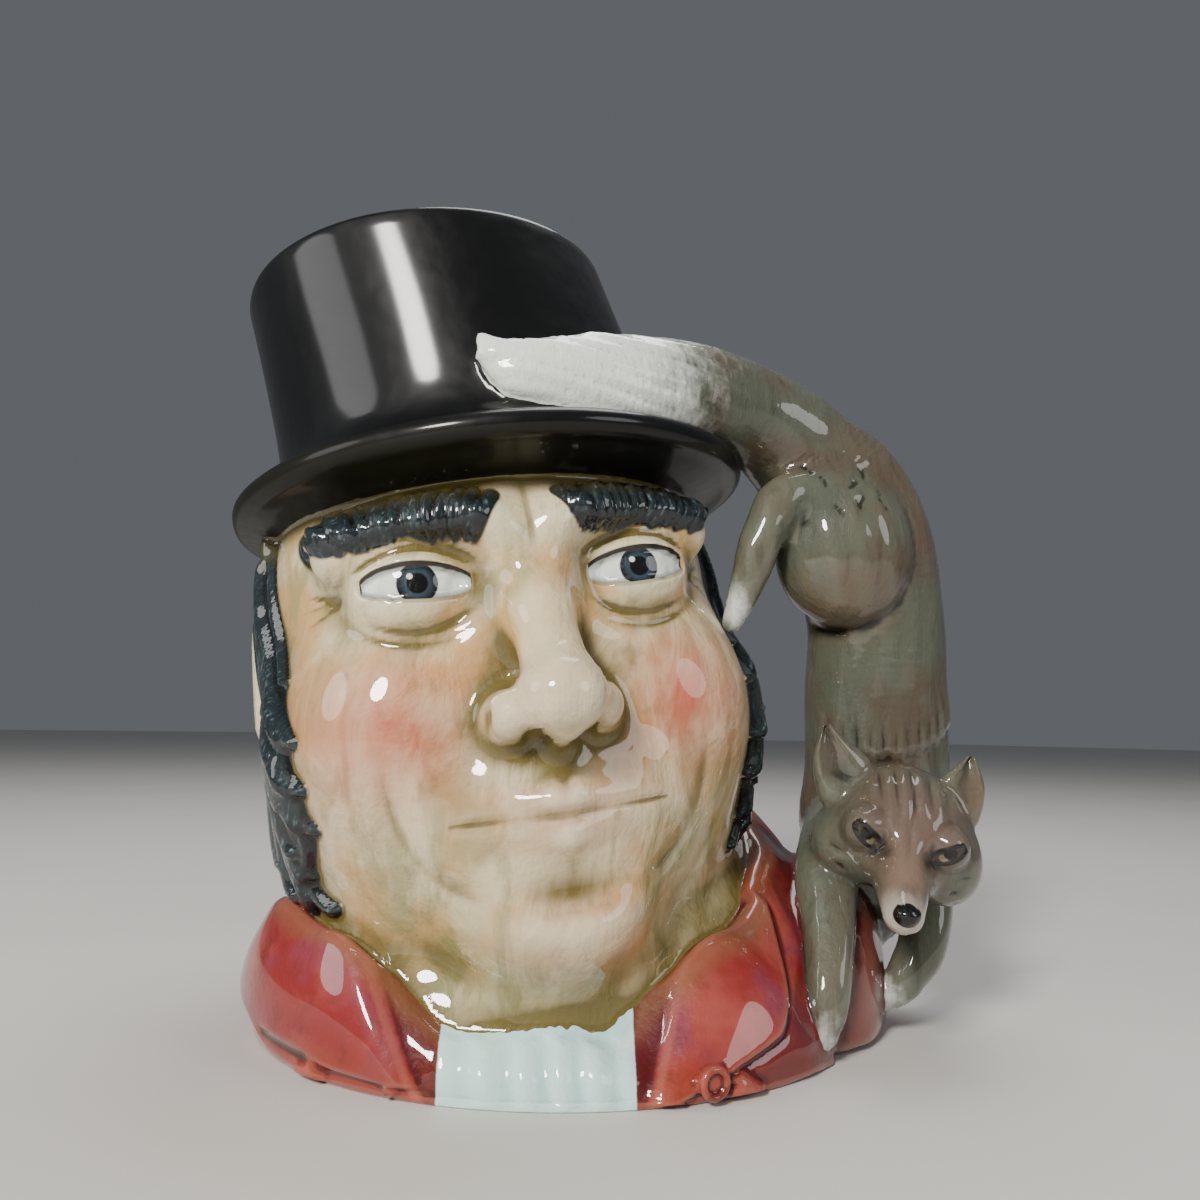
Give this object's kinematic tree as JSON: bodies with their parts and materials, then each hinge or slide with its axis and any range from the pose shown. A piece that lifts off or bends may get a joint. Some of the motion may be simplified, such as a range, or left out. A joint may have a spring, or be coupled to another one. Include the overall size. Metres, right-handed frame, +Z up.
{
  "type": "toby jug",
  "caption": "Glazed earthenware toby jug: a hollow huntsman's head in black top hat and red coat, with a fox climbing down the side as its handle",
  "frame": {"origin": "centre of the bounding box on the flat underside that the jug stands on", "axes": "+Z up; the coat's front faces -Y and the huntsman's face turns a little towards +X; the fox handle is on the +X side"},
  "size_m": [0.1818, 0.1492, 0.1864],
  "materials": {
    "glazed_earthenware": "slip-cast earthenware painted under a clear high-gloss glaze: black hat, cream skin, red coat, white stock, grey-brown fox"
  },
  "bodies": {
    "root": {"toby_jug": "glazed_earthenware"}
  },
  "joints": []
}
